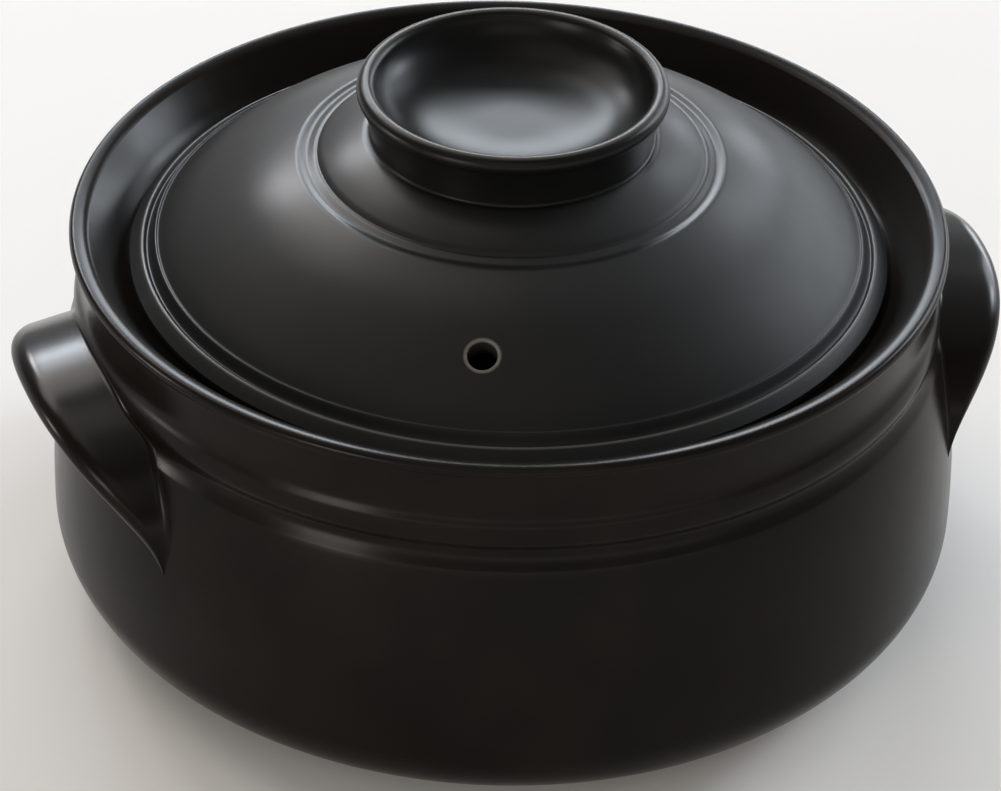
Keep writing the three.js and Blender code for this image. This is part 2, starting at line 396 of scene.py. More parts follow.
@dataclass(frozen=True)
class Glaze:
    """Satin black glaze with cloudy tone, fine pits and a soft ripple, glossier where it pools."""

    name: str
    colour: Colour
    cloud: Colour
    thin: Colour
    roughness: float
    gloss: float
    pool: float
    pool_roughness: float
    pool_slope: tuple[float, float]
    roughness_drift: float = 0.05
    noise_roughness: float = 0.55
    cloud_size: float = 28.0
    cloud_band: tuple[float, float] = (0.35, 0.7)
    ripple_size: float = 5.5
    ripple_depth: float = 0.012
    grain_size: float = 0.7
    grain_depth: float = 0.002
    pit_spacing: float = 9.0
    pit_radius: float = 0.32
    pit_core: float = 0.4
    pit_share: float = 0.1
    pit_fade: float = 0.8
    pit_tone: float = 0.6
    pit_dulling: float = 0.2
    pit_depth: float = 0.12
    clay: Colour = (0.17, 0.105, 0.065)
    clay_roughness: float = 0.86
    clay_grain_depth: float = 0.05
    refraction: float = 1.5

    def material(self, thin_at: "ThinPlaces") -> bpy.types.Material:
        """Makes the material.

        Args:
            thin_at: Where the glaze is drawn thin or wiped off on the piece.

        Returns:
            The material.
        """
        made = bpy.data.materials.new(self.name)
        made.use_nodes = True
        made.node_tree.nodes.clear()
        graph = Graph(made.node_tree)
        place = graph.add("ShaderNodeTexCoord", {}, {}, "Object")
        clouds = self.noise(graph, place, self.cloud_size, octaves=3).band(*self.cloud_band)
        pits = self.pits(graph, place)
        thin, bare = thin_at.masks(graph, place)
        tone = graph.mix(clouds, opaque(self.colour), opaque(self.cloud))
        tone = graph.mix(thin, tone, opaque(self.thin))
        tone = graph.mix(pits * self.pit_tone, tone, opaque(self.thin))
        tone = graph.mix(bare, tone, opaque(self.clay))
        drift = self.noise(graph, place, self.cloud_size / 3, octaves=4) - 0.5
        sheen = self.roughness + drift * (2 * self.roughness_drift) + pits * self.pit_dulling
        sheen = sheen * (1 - bare) + bare * self.clay_roughness
        ripple = self.noise(graph, place, self.ripple_size, octaves=1) * self.ripple_depth
        grain_depth = self.grain_depth + bare * self.clay_grain_depth
        grain = self.noise(graph, place, self.grain_size, octaves=2) * grain_depth
        height = ripple + grain - pits * self.pit_depth
        level_top = graph.add("ShaderNodeAttribute", {"attribute_name": LEVEL_TOP}, {}, "Fac")
        pool = level_top.band(*self.pool_slope) * (1 - bare) * self.pool
        bump = graph.add(
            "ShaderNodeBump", {}, {"Height": height, "Distance": MM, "Strength": 1.0}, "Normal"
        )
        shader = graph.add(
            "ShaderNodeBsdfPrincipled",
            {},
            {
                "Base Color": tone,
                "Roughness": sheen,
                "Normal": bump,
                "IOR": self.refraction,
                "Specular IOR Level": self.gloss,
                "Coat Weight": pool,
                "Coat Roughness": self.pool_roughness,
            },
            "BSDF",
        )
        graph.node("ShaderNodeOutputMaterial", {}, {"Surface": shader})
        return made

    def noise(self, graph: Graph, place: Value, size: float, octaves: int) -> Value:
        """Noise whose lumps have a size in millimetres.

        Args:
            graph: The material's graph.
            place: Object coordinates.
            size: Size of a lump.
            octaves: How often finer lumps are added.

        Returns:
            The noise, from 0 to 1.
        """
        sockets = {
            "Vector": place,
            "Scale": 1 / (size * MM),
            "Detail": float(octaves),
            "Roughness": self.noise_roughness,
        }
        return graph.add("ShaderNodeTexNoise", {}, sockets, "Fac")

    def pits(self, graph: Graph, place: Value) -> Value:
        """Mask of the few pinholes left in the glaze.

        Args:
            graph: The material's graph.
            place: Object coordinates.

        Returns:
            The mask, 1 in the middle of a pinhole.
        """
        cells = graph.node(
            "ShaderNodeTexVoronoi",
            {"feature": "F1"},
            {"Vector": place, "Scale": 1 / (self.pit_spacing * MM), "Randomness": 1.0},
        )
        near = Value(graph, cells.outputs["Distance"])
        draw = graph.add(
            "ShaderNodeSeparateColor", {}, {"Color": Value(graph, cells.outputs["Color"])}, "Red"
        )
        reach = self.pit_radius / self.pit_spacing
        chosen = draw.band(self.pit_share, self.pit_share * self.pit_fade)
        return near.band(reach, reach * self.pit_core) * chosen


@dataclass(frozen=True)
class ThinPlaces:
    """Bands of a turned piece, by height or radius, where glaze is thin or wiped off."""

    lip_radius: float
    lip_level: float
    lip_reach: float
    bare_below: Optional[float] = None
    bare_ring: Optional[tuple[float, float, float, float]] = None
    vent_centre: Optional[tuple[float, float, float]] = None
    vent_axis: Optional[tuple[float, float, float]] = None
    vent_radius: float = 0.0
    vent_rim: float = 1.2
    vent_start: float = 0.1
    vent_full: float = 0.3
    vent_fade: float = 0.6
    lip_strength: float = 0.5
    foot_soft: float = 0.5
    ring_soft: float = 0.4

    def masks(self, graph: Graph, place: Value) -> tuple[Value, Value]:
        """Masks of thin glaze and of bare clay.

        Args:
            graph: The material's graph.
            place: Object coordinates.

        Returns:
            The two masks.
        """
        split = graph.node("ShaderNodeSeparateXYZ", {}, {"Vector": place})
        level = Value(graph, split.outputs["Z"])
        radius = graph.vector("LENGTH", graph.vector("MULTIPLY", place, (1.0, 1.0, 0.0)))
        across = (radius - self.lip_radius * MM) * (radius - self.lip_radius * MM)
        along = (level - self.lip_level * MM) * (level - self.lip_level * MM)
        reach = (self.lip_reach * MM) ** 2
        thin = (across + along).band(reach, 0.0) * self.lip_strength
        # Glazed all over, unless one of the bands below is given
        bare = level * 0.0
        if self.bare_below is not None:
            bare = level.band(self.bare_below * MM, (self.bare_below - self.foot_soft) * MM)
        if self.bare_ring is not None:
            inner, outer, low, high = (edge * MM for edge in self.bare_ring)
            soft = self.ring_soft * MM
            ring = radius.band(inner, inner + soft) * radius.band(outer, outer - soft)
            bare = bare + ring * level.band(low - soft, low) * level.band(high + soft, high)
        if self.vent_centre is not None and self.vent_axis is not None:
            thin = thin + self.vent_ring(graph, place)
        return thin, bare

    def vent_ring(self, graph: Graph, place: Value) -> Value:
        """Mask of the thin edge round the vent.

        Args:
            graph: The material's graph.
            place: Object coordinates.

        Returns:
            The mask.
        """
        offset = graph.vector("SUBTRACT", place, tuple(c * MM for c in self.vent_centre))
        away = graph.vector("LENGTH", graph.vector("CROSS_PRODUCT", offset, self.vent_axis))
        start = self.vent_radius - self.vent_start
        full = self.vent_radius + self.vent_full
        outer = self.vent_radius + self.vent_rim
        edge = away.band(start * MM, full * MM)
        return edge * away.band(outer * MM, (outer - self.vent_fade) * MM)


class Lathe:
    """Geometry Nodes tree that turns a profile about Z."""

    def __init__(self) -> None:
        """Builds the tree with its named inputs."""
        self.tree = bpy.data.node_groups.new("turn_profile", "GeometryNodeTree")
        face = self.tree.interface
        face.new_socket("Profile", in_out="INPUT", socket_type="NodeSocketGeometry")
        self.turns = face.new_socket("Turns", in_out="INPUT", socket_type="NodeSocketInt")
        self.glaze = face.new_socket("Glaze", in_out="INPUT", socket_type="NodeSocketMaterial")
        face.new_socket("Piece", in_out="OUTPUT", socket_type="NodeSocketGeometry")
        graph = Graph(self.tree)
        given = graph.node("NodeGroupInput", {}, {})
        profile = Value(graph, given.outputs["Profile"])
        turns = Value(graph, given.outputs["Turns"])
        rows = graph.add(
            "GeometryNodeAttributeDomainSize", {"component": "MESH"}, {"Geometry": profile}, "Point Count"
        )
        shape = graph.add("GeometryNodeMeshGrid", {}, {"Vertices X": turns + 1, "Vertices Y": rows}, "Mesh")
        index = graph.add("GeometryNodeInputIndex", {}, {}, "Index")
        column = (index / rows + INDEX_NUDGE).floor()
        spot = graph.add(
            "GeometryNodeSampleIndex",
            {"data_type": "FLOAT_VECTOR", "domain": "POINT"},
            {
                "Geometry": profile,
                "Value": graph.add("GeometryNodeInputPosition", {}, {}, "Position"),
                "Index": index - column * rows,
            },
            "Value",
        )
        split = graph.node("ShaderNodeSeparateXYZ", {}, {"Vector": spot})
        radius = Value(graph, split.outputs["X"])
        angle = column * (2 * math.pi) / turns
        level = Value(graph, split.outputs["Z"])
        sockets = {"X": radius * angle.cosine(), "Y": radius * angle.sine(), "Z": level}
        turned = graph.add("ShaderNodeCombineXYZ", {}, sockets, "Vector")
        for kind, more in (
            ("GeometryNodeSetPosition", {"Position": turned}),
            ("GeometryNodeMergeByDistance", {"Distance": WELD_DISTANCE}),
            ("GeometryNodeSetShadeSmooth", {}),
            ("GeometryNodeRealizeInstances", {}),
            ("GeometryNodeSetMaterial", {"Material": Value(graph, given.outputs["Glaze"])}),
        ):
            shape = graph.add(kind, {}, {"Geometry": shape, **more}, "Geometry")
        graph.node("NodeGroupOutput", {}, {"Piece": shape})

    def turn(self, profile: Profile, turns: int, glaze: Optional[bpy.types.Material]) -> bpy.types.Mesh:
        """Turns a profile into a plain mesh.

        Args:
            profile: Radius and height of each row, in millimetres.
            turns: Facets round the axis.
            glaze: Material of the piece.

        Returns:
            The mesh, facing outwards.
        """
        outline = bpy.data.meshes.new("profile")
        spots = [(radius * MM, 0.0, height * MM) for radius, height in profile]
        outline.from_pydata(spots, [(i, i + 1) for i in range(len(spots) - 1)], [])
        carrier = bpy.data.objects.new("profile", outline)
        bpy.context.scene.collection.objects.link(carrier)
        modifier = carrier.modifiers.new("turn", "NODES")
        modifier.node_group = self.tree
        modifier[self.turns.identifier] = turns
        if glaze is not None:
            modifier[self.glaze.identifier] = glaze
        mesh = settled(carrier)
        bpy.data.objects.remove(carrier)
        bpy.data.meshes.remove(outline)
        face_outwards(mesh)
        return mesh


def settled(carrier: bpy.types.Object) -> bpy.types.Mesh:
    """The plain mesh that an object's modifiers give.

    Args:
        carrier: The object.

    Returns:
        The mesh.
    """
    bpy.context.view_layer.update()
    graph = bpy.context.evaluated_depsgraph_get()
    return bpy.data.meshes.new_from_object(carrier.evaluated_get(graph))


def face_outwards(mesh: bpy.types.Mesh) -> None:
    """Welds a closed mesh and turns its faces outwards.

    Args:
        mesh: The mesh.
    """
    work = bmesh.new()
    work.from_mesh(mesh)
    bmesh.ops.remove_doubles(work, verts=work.verts, dist=WELD_DISTANCE)
    bmesh.ops.recalc_face_normals(work, faces=work.faces)
    if work.calc_volume(signed=True) < 0:
        bmesh.ops.reverse_faces(work, faces=work.faces)
    work.to_mesh(mesh)
    work.free()
    mesh.shade_smooth()
    mesh.set_sharp_from_angle(angle=SHARP_ANGLE)


def mark_level_tops(mesh: bpy.types.Mesh, share: float) -> None:
    """Stores how level and upward each corner of a mesh faces, for glaze that pools there.

    Args:
        mesh: The mesh.
        share: How much of the levelness counts.
    """
    marks = mesh.attributes.new(LEVEL_TOP, "FLOAT", "POINT")
    marks.data.foreach_set("value", [max(vertex.normal.z, 0.0) * share for vertex in mesh.vertices])


def place_piece(
    name: str, mesh: bpy.types.Mesh, node: str, body: Body, pooled: float = 1.0
) -> bpy.types.Object:
    """Puts a finished mesh into the scene in place of its CAD node.

    Args:
        name: Name of the piece.
        mesh: Its mesh, in the part's frame.
        node: The CAD node that it stands for.
        body: The body that it moves with.
        pooled: How much the level tops of the piece count for pooled glaze.

    Returns:
        The object.
    """
    mesh.name = name
    mark_level_tops(mesh, pooled)
    piece = bpy.data.objects.new(name, mesh)
    bpy.context.scene.collection.objects.link(piece)
    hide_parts(node)
    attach(piece, body.value)
    log.info("%s: %d faces, moves with %s", name, len(mesh.polygons), body.value)
    return piece


@dataclass
class PotBody:
    """The thrown body: foot ring, belly, beaded neck, a lip that falls inwards, and gallery."""

    height: float = 104.0
    rim_radius: float = 110.0
    lip_width: float = 5.6
    lip_height: float = 3.0
    lip_edge_round: float = 1.2
    lip_crest: float = 1.3
    lip_fall: float = 2.4
    lip_to: float = 148.0
    lip_overhang: float = 2.2
    collar_drop: float = 13.8
    bead_top_proud: float = 1.3
    bead_top_drop: float = 17.9
    bead_proud: float = 1.8
    bead_drop: float = 21.3
    groove_proud: float = 0.85
    groove_drop: float = 24.8
    shoulder_proud: float = 2.6
    shoulder_drop: float = 29.0
    shoulder_fullness: float = 30.0
    belly_swell: float = 7.0
    belly_level: float = 24.0
    foot_inset: float = 33.0
    foot_height: float = 1.2
    foot_ring_width: float = 9.0
    foot_recess: float = 1.2
    wall: float = 7.0
    floor: float = 8.0
    rim_width: float = 13.3
    gallery_drop: float = 11.5
    gallery_round: float = 3.6
    ledge_width: float = 5.4
    ledge_thickness: float = 3.2
    ledge_to: float = 200.0
    base_round: float = 0.6
    ring_round: float = 0.5
    foot_round: float = 0.7
    seat_inner_margin: float = 0.6
    seat_outer_margin: float = 0.5
    seat_below: float = 1.0
    seat_above: float = 0.4
    bare_foot: float = 1.0
    pooled: float = 0.82
    turns: int = 224
    skin: Profile = field(default_factory=list)

    def __post_init__(self) -> None:
        """Works out the outer skin once, for the pieces that sit on it."""
        self.skin = self.outside()

    @property
    def belly_radius(self) -> float:
        """Largest radius of the body."""
        return self.rim_radius + self.belly_swell

    @property
    def foot_radius(self) -> float:
        """Outer radius of the foot ring."""
        return self.belly_radius - self.foot_inset

    @property
    def collar_radius(self) -> float:
        """Radius of the collar under the lip."""
        return self.rim_radius - self.lip_overhang

    @property
    def gallery_radius(self) -> float:
        """Inner radius of the wall that the lid drops into."""
        return self.rim_radius - self.rim_width

    @property
    def gallery_level(self) -> float:
        """Level of the ledge that carries the lid."""
        return self.height - self.gallery_drop

    def outside(self) -> Profile:
        """The outer outline from the foot's edge to the top of the lip."""
        belly = (self.belly_radius, self.belly_level)
        shoulder = (self.collar_radius + self.shoulder_proud, self.height - self.shoulder_drop)
        under = arc(
            (self.foot_radius, self.belly_level),
            (self.belly_radius - self.foot_radius, self.belly_level - self.foot_height),
            -90,
            0,
            steps=30,
        )
        full = (self.belly_radius, self.belly_level + self.shoulder_fullness)
        over = bend((belly, full, shoulder), steps=30)
        lip_foot = self.height - self.lip_height
        edge = self.rim_radius - self.lip_edge_round
        collar_top = (self.collar_radius, lip_foot - self.lip_overhang)
        under_lip = bend((collar_top, (self.collar_radius, lip_foot), (edge, lip_foot)), steps=8)
        rounding = (self.lip_edge_round, self.lip_edge_round)
        lip = arc((edge, lip_foot + rounding[1]), rounding, -90, 0, steps=8)
        crown = (self.lip_crest, self.lip_height - self.lip_edge_round)
        lip += arc((self.rim_radius - crown[0], self.height - crown[1]), crown, 0, 90, steps=10)
        neck = through(
            [
                shoulder,
                (self.collar_radius + self.groove_proud, self.height - self.groove_drop),
                (self.collar_radius + self.bead_proud, self.height - self.bead_drop),
                (self.collar_radius + self.bead_top_proud, self.height - self.bead_top_drop),
                (self.collar_radius, self.height - self.collar_drop),
                collar_top,
            ],
            steps=12,
        )
        return under + over[1:] + neck[1:] + under_lip[1:] + lip[1:]

    def inside(self) -> Profile:
        """The inner outline from the top of the lip to the middle of the floor."""
        ledge = self.gallery_level
        slope = (self.lip_width - self.lip_crest, self.lip_fall)
        crest = (self.rim_radius - self.lip_crest, self.height - slope[1])
        lip = arc(crest, slope, 90, self.lip_to, steps=18)
        corner = (self.gallery_radius, ledge)
        share = self.gallery_round / (lip[-1][1] - ledge)
        wall_foot = (between(corner[0], lip[-1][0], share), ledge + self.gallery_round)
        root = (self.gallery_radius - self.gallery_round / 2, ledge)
        half = self.ledge_thickness / 2
        mouth = self.gallery_radius - self.ledge_width
        edge = arc((mouth + half, ledge - half), (half, half), 90, self.ledge_to, steps=14)
        neck = (self.collar_radius + self.groove_proud - self.wall, self.height - self.shoulder_drop)
        inner = (self.belly_radius - self.wall, self.belly_level + self.floor / 2)
        full = (self.belly_radius - self.wall, self.belly_level + self.shoulder_fullness)
        side = bend((neck, full, inner), steps=18)
        bowl = arc(
            (self.foot_radius, inner[1]),
            (inner[0] - self.foot_radius, inner[1] - self.floor),
            0,
            -90,
            steps=24,
        )
        fillet = bend((wall_foot, corner, root), steps=14)
        return lip + fillet + edge + side + bowl[1:] + [(0.0, self.floor)]

    def underside(self) -> Profile:
        """The base from its middle to the outer edge of the foot ring."""
        ring = self.foot_radius - self.foot_ring_width
        return eased(
            [
                ((0.0, self.foot_recess), 0.0),
                ((ring, self.foot_recess), self.base_round),
                ((ring + self.foot_recess, 0.0), self.ring_round),
                ((self.foot_radius, 0.0), self.foot_round),
                ((self.foot_radius, self.foot_height), 0.0),
            ],
            steps=4,
        )

    def radius_at(self, level: float) -> float:
        """Outer radius at a level above the belly.

        Args:
            level: Height above the table.

        Returns:
            The radius.
        """
        for low, high in zip(self.skin, self.skin[1:]):
            if low[1] <= level <= high[1] and high[1] > low[1]:
                share = (level - low[1]) / (high[1] - low[1])
                return between(low[0], high[0], share)
        return self.collar_radius

    def thin_places(self) -> ThinPlaces:
        """Where the body's glaze is thin or wiped off."""
        seat = (
            self.gallery_radius - self.ledge_width + self.seat_inner_margin,
            self.gallery_radius - self.gallery_round / 2 - self.seat_outer_margin,
            self.gallery_level - self.seat_below,
            self.gallery_level + self.seat_above,
        )
        half = self.lip_width / 2
        crest = self.rim_radius - half
        return ThinPlaces(crest, self.height, half, bare_below=self.bare_foot, bare_ring=seat)

    def build(self, lathe: Lathe, glaze: bpy.types.Material) -> bpy.types.Object:
        """Turns the body and dresses it.

        Args:
            lathe: The tree that turns profiles.
            glaze: Material of the body's glaze.

        Returns:
            The piece.
        """
        profile = self.underside() + self.skin + self.inside()
        mesh = lathe.turn(profile, self.turns, glaze)
        return place_piece("pot_body_glazed", mesh, "pot_body", Body.POT, self.pooled)


@dataclass
class HoodedHandle:
    """A lug like a half hood, arched over the fingers and blended into the body."""

    pot: PotBody
    side: Side
    set_round: float = 5.5
    half_width: float = 46.0
    crest_drop: float = 18.0
    rise: float = 36.8
    squareness: float = 2.26
    reach: float = 17.7
    fall: float = 2.6
    edge_sweep: float = 1.35
    edge_wall: float = 7.0
    root_wall: float = 10.0
    edge_round: float = 4.5
    cove: float = 2.2
    round_share: float = 0.33
    sink: float = 0.6
    skin_gap: float = 0.02
    least_half: float = 0.4
    under_share: float = 0.3
    arch_steps: int = 144
    cove_steps: int = 10
    top_steps: int = 8
    edge_steps: int = 16

    @property
    def foot_level(self) -> float:
        """Level of the arch's two feet."""
        return self.pot.height - self.crest_drop - self.rise

    def ring(self, turn: float) -> list[Vector]:
        """Points round the wall where the arch has turned by an angle.

        Args:
            turn: Angle from one foot of the arch, in radians.

        Returns:
            The ring, in millimetres, for a handle along +X.
        """
        spread = drawn(math.cos(turn), 2 / self.squareness)
        lift = drawn(math.sin(turn), 2 / self.squareness)
        across = self.half_width * spread
        level = self.foot_level + self.rise * lift
        lean = drawn(spread, self.squareness - 1) / self.half_width
        climb = drawn(lift, self.squareness - 1) / self.rise
        slope = Vector((lean, climb)).normalized()
        root = self.skin_at(across, level)
        foot = self.skin_at(self.half_width, self.foot_level)
        crest = self.pot.radius_at(self.foot_level + self.rise) + self.reach
        edge_x = between(foot, crest, abs(lift) ** self.edge_sweep)
        room = self.round_share * max(edge_x - root, 0.0)
        cove = min(self.cove * (1 - lift / 2), room)
        edge = min(self.edge_round, room)
        half = min(self.edge_wall / 2, max(edge_x - root, 0.0) + self.least_half)
        inner = -2 * half

        def spot(x: float, off: float) -> Vector:
            fall = self.fall * (x - root) / self.reach
            return Vector((x, across + off * slope.x, level + off * slope.y - fall))

        def on_skin(off: float, depth: float) -> Vector:
            y, z = across + off * slope.x, level + off * slope.y
            return Vector((self.skin_at(y, z) - depth, y, z))

        def blend(start: Vector, corner: Vector, end: Vector) -> list[Vector]:
            shares = [i / self.cove_steps for i in range(self.cove_steps + 1)]
            return [start * (1 - t) ** 2 + corner * (2 * t * (1 - t)) + end * t * t for t in shares]

        root_off = max(inner * self.root_wall / self.edge_wall, -self.root_wall)
        inner_root = on_skin(root_off, 0.0)
        lip_x = edge_x - edge
        points = [on_skin(cove, self.sink)]
        points += blend(on_skin(cove, self.skin_gap), spot(root, 0.0), spot(root + cove, 0.0))
        for i in range(1, self.top_steps):
            points.append(spot(between(root + cove, lip_x, i / self.top_steps), 0.0))
        for i in range(self.edge_steps + 1):
            angle = math.pi * (0.5 - i / self.edge_steps)
            points.append(spot(lip_x + edge * math.cos(angle), -half + half * math.sin(angle)))
        under_start = spot(lip_x, inner)
        cove_start = inner_root.lerp(under_start, self.under_share)
        for i in range(1, self.top_steps):
            points.append(under_start.lerp(cove_start, i / self.top_steps))
        points += blend(cove_start, inner_root, on_skin(root_off - cove, self.skin_gap))
        points.append(on_skin(root_off - cove, self.sink))
        return points

    def skin_at(self, across: float, level: float) -> float:
        """How far out the body's skin lies at a height and a place across the handle.

        Args:
            across: Distance from the handle's middle plane.
            level: Height above the table.

        Returns:
            The distance along X.
        """
        return math.sqrt(max(self.pot.radius_at(level) ** 2 - across**2, 0.0))

    def build(self, glaze: bpy.types.Material) -> bpy.types.Object:
        """Lofts the handle and dresses it.

        Args:
            glaze: Material of the body's glaze.

        Returns:
            The piece.
        """
        rings = [self.ring(math.pi * i / self.arch_steps) for i in range(self.arch_steps + 1)]
        count = len(rings[0])
        faces: list[tuple[int, ...]] = []
        for row in range(len(rings) - 1):
            for column in range(count):
                here = row * count + column
                beside = row * count + (column + 1) % count
                faces.append((here, beside, beside + count, here + count))
        faces.append(tuple(range(count)))
        faces.append(tuple(range((len(rings) - 1) * count, len(rings) * count)))
        degrees = 180.0 + self.set_round if self.side is Side.LEFT else -self.set_round
        turn = Matrix.Rotation(math.radians(degrees), 4, "Z")
        mesh = bpy.data.meshes.new(self.side.value)
        mesh.from_pydata([turn @ (point * MM) for ring in rings for point in ring], [], faces)
        mesh.materials.append(glaze)
        face_outwards(mesh)
        return place_piece(f"{self.side.value}_glazed", mesh, self.side.value, Body.POT)


@dataclass
class LidDome:
    """The domed lid: flange, two ridges, step ring, crown and steam vent."""

    pot: PotBody
    seat_gap: float = 0.3
    clearance: float = 1.5
    flange_thickness: float = 2.0
    flange_round: float = 1.0
    ridge_inset: float = 3.0
    ridge_rise: float = 4.5
    ridge_groove_width: float = 1.5
    ridge_groove_depth: float = 0.6
    upper_ridge_inset: float = 6.3
    upper_ridge_rise: float = 6.4
    hairline_width: float = 0.8
    hairline_depth: float = 0.1
    dome_inset: float = 8.0
    dome_edge_rise: float = 7.1
    dome_rise: float = 21.1
    dome_bulge: float = 2.4
    crown_radius: float = 36.5
    crown_rise: float = 6.0
    crown_fullness: float = 4.0
    step_width: float = 16.5
    step_groove_width: float = 2.0
    step_groove_depth: float = 0.4
    wall: float = 6.5
    step_ridge_inset: float = 4.1
    step_ridge_rise: float = 0.45
    seat_width: float = 7.6
    vent_radius: float = 3.5
    vent_inset: float = 14.2
    vent_degrees: float = 249.0
    vent_round: float = 0.8
    vent_above: float = 4.0
    vent_turns: int = 64
    step_round: float = 0.8
    step_ridge_round: float = 0.5
    hairline_round: float = 0.3
    seat_margin: float = 0.4
    seat_below: float = 1.0
    seat_above: float = 0.6
    thin_reach: float = 0.5
    turns: int = 224

    @property
    def radius(self) -> float:
        """Outer radius of the flange."""
        return self.pot.gallery_radius - self.clearance

    @property
    def level(self) -> float:
        """Level of the flange's seat."""
        return self.pot.gallery_level + self.seat_gap

    @property
    def step_radius(self) -> float:
        """Radius of the ring where the dome steps up to the crown."""
        return self.crown_radius + self.step_width

    @property
    def step_level(self) -> float:
        """Level of that ring."""
        return self.level + self.dome_edge_rise + self.dome_rise

    @property
    def crown_level(self) -> float:
        """Level of the flat crown under the knob."""
        return self.step_level + self.crown_rise

    def outside(self) -> Profile:
        """The upper outline from the flange's seat to the crown's middle."""
        flange_top = self.level + self.flange_thickness
        ridge = self.radius - self.ridge_inset
        ridge_top = self.level + self.ridge_rise
        dome_edge = (self.radius - self.dome_inset, self.level + self.dome_edge_rise)
        step = (self.step_radius, self.step_level)
        run, climb = dome_edge[0] - step[0], step[1] - dome_edge[1]
        push = 2 * self.dome_bulge / math.hypot(run, climb)
        middle = ((dome_edge[0] + step[0]) / 2 + climb * push, (dome_edge[1] + step[1]) / 2 + run * push)
        inner_step = self.step_radius - 2 * self.step_groove_width
        shoulder = bend(
            (
                (inner_step, self.step_level + self.step_groove_depth),
                ((inner_step + self.crown_radius) / 2, self.step_level + self.crown_fullness),
                (self.crown_radius, self.crown_level),
            ),
            steps=16,
        )
        flange = eased(
            [
                ((self.radius - self.seat_width, self.level), 0.0),
                ((self.radius, self.level), self.flange_round),
                ((self.radius, flange_top), 0.0),
            ],
            steps=6,
        )
        upper = (self.radius - self.upper_ridge_inset, self.level + self.upper_ridge_rise)
        ridges = through(
            [
                (self.radius, flange_top),
                (ridge, ridge_top),
                (ridge - self.ridge_groove_width, ridge_top - self.ridge_groove_depth),
                upper,
                (upper[0] - self.hairline_width, upper[1] - self.hairline_depth),
                dome_edge,
            ],
            steps=9,
        )
        dome = bend((dome_edge, middle, step), steps=40)
        groove = (self.step_radius - self.step_groove_width, self.step_level - self.step_groove_depth)
        step_ridge = (self.step_radius - self.step_ridge_inset, self.step_level + self.step_ridge_rise)
        ring = eased(
            [
                (dome[-2], 0.0),
                (step, self.step_round),
                (groove, self.step_round),
                (step_ridge, self.step_ridge_round),
                ((step_ridge[0] - self.hairline_width, step_ridge[1]), self.hairline_round),
                (shoulder[2], 0.0),
            ],
            steps=6,
        )
        return flange[1:-1] + ridges + dome[1:-2] + ring + shoulder[3:] + [(0.0, self.crown_level)]

    def inside(self) -> Profile:
        """The under outline from the middle out to the flange's seat."""
        seat = (self.radius - self.seat_width, self.level)
        crown = (self.crown_radius, self.crown_level - self.wall)
        pull = (self.step_radius + self.wall / 2, self.step_level - self.wall / 2)
        return [(0.0, crown[1])] + bend((crown, pull, seat), steps=32)

    def vent_line(self) -> tuple[Vector, Vector]:
        """A point on the vent's axis and the axis itself, pointing out of the dome."""
        edge_radius = self.radius - self.dome_inset
        run = edge_radius - self.step_radius
        share = self.vent_inset / run
        level = self.level + self.dome_edge_rise + self.dome_rise * share
        tilt = math.atan2(self.dome_rise, run)
        turn = Matrix.Rotation(math.radians(self.vent_degrees), 3, "Z")
        axis = turn @ Vector((math.sin(tilt), 0.0, math.cos(tilt)))
        bulge = 4 * self.dome_bulge * share * (1 - share)
        return turn @ Vector((edge_radius - self.vent_inset, 0.0, level)) + axis * bulge, axis

    def bore(self, lathe: Lathe) -> bpy.types.Object:
        """The tool that cuts the vent, flared where it meets the dome.

        Args:
            lathe: The tree that turns profiles.

        Returns:
            The cutter.
        """
        depth = 2 * self.dome_rise
        wide = self.vent_radius + self.vent_round
        flare = arc((wide, -self.vent_round), (self.vent_round, self.vent_round), 180, 90, steps=10)
        top = [(wide, self.vent_above), (0.0, self.vent_above)]
        profile = [(0.0, -depth), (self.vent_radius, -depth)] + flare + top
        mesh = lathe.turn(profile, self.vent_turns, None)
        centre, axis = self.vent_line()
        turn = Vector((0.0, 0.0, 1.0)).rotation_difference(axis).to_matrix().to_4x4()
        mesh.transform(Matrix.Translation(centre * MM) @ turn)
        cutter = bpy.data.objects.new("vent_cutter", mesh)
        bpy.context.scene.collection.objects.link(cutter)
        return cutter

    def build(self, lathe: Lathe, glaze: Glaze) -> bpy.types.Object:
        """Turns the lid, bores its vent and dresses it.

        Args:
            lathe: The tree that turns profiles.
            glaze: The lid's glaze.

        Returns:
            The piece.
        """
        centre, axis = self.vent_line()
        seat = (
            self.radius - self.seat_width,
            self.radius - self.seat_margin,
            self.level - self.seat_below,
            self.level + self.seat_above,
        )
        thin_at = ThinPlaces(
            self.radius - self.ridge_inset,
            self.level + self.ridge_rise,
            self.thin_reach,
            bare_ring=seat,
            vent_centre=tuple(centre),
            vent_axis=tuple(axis),
            vent_radius=self.vent_radius,
        )
        material = glaze.material(thin_at)
        turned = lathe.turn(self.inside() + self.outside(), self.turns, material)
        carrier = bpy.data.objects.new("lid_blank", turned)
        bpy.context.scene.collection.objects.link(carrier)
        cutter = self.bore(lathe)
        cut = carrier.modifiers.new("vent", "BOOLEAN")
        cut.operation = "DIFFERENCE"
        cut.solver = "EXACT"
        cut.object = cutter
        mesh = settled(carrier)
        bpy.data.objects.remove(carrier)
        bpy.data.objects.remove(cutter)
        mesh.materials.clear()
        mesh.materials.append(material)
        mesh.shade_smooth()
        mesh.set_sharp_from_angle(angle=SHARP_ANGLE)
        return place_piece("lid_dome_glazed", mesh, "lid_dome", Body.LID)


